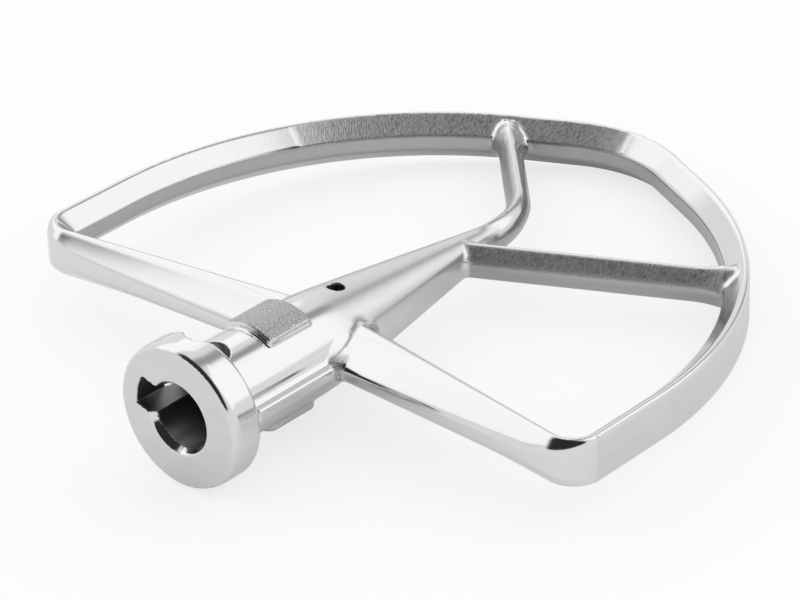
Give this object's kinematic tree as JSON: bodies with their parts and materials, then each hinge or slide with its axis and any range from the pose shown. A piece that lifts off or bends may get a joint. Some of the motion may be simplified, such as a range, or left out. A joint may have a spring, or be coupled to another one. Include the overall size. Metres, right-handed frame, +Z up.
{
  "type": "stand mixer flat beater",
  "caption": "Cast steel flat beater for a stand mixer: an open leaf-shaped frame with forked struts on a stem, and a bayonet socket that takes the drive shaft.",
  "frame": {"origin": "centre of the bounding box's underside, on the surface the beater lies on", "axes": "+X across the frame, +Y from the collar to the rim's tip, +Z up from the surface"},
  "size_m": [0.1388, 0.1364, 0.0294],
  "materials": {
    "steel": "polished casting, satin on the collar's face and the rim's outer wall"
  },
  "bodies": {
    "root": {"flat_beater": "steel"}
  },
  "joints": []
}
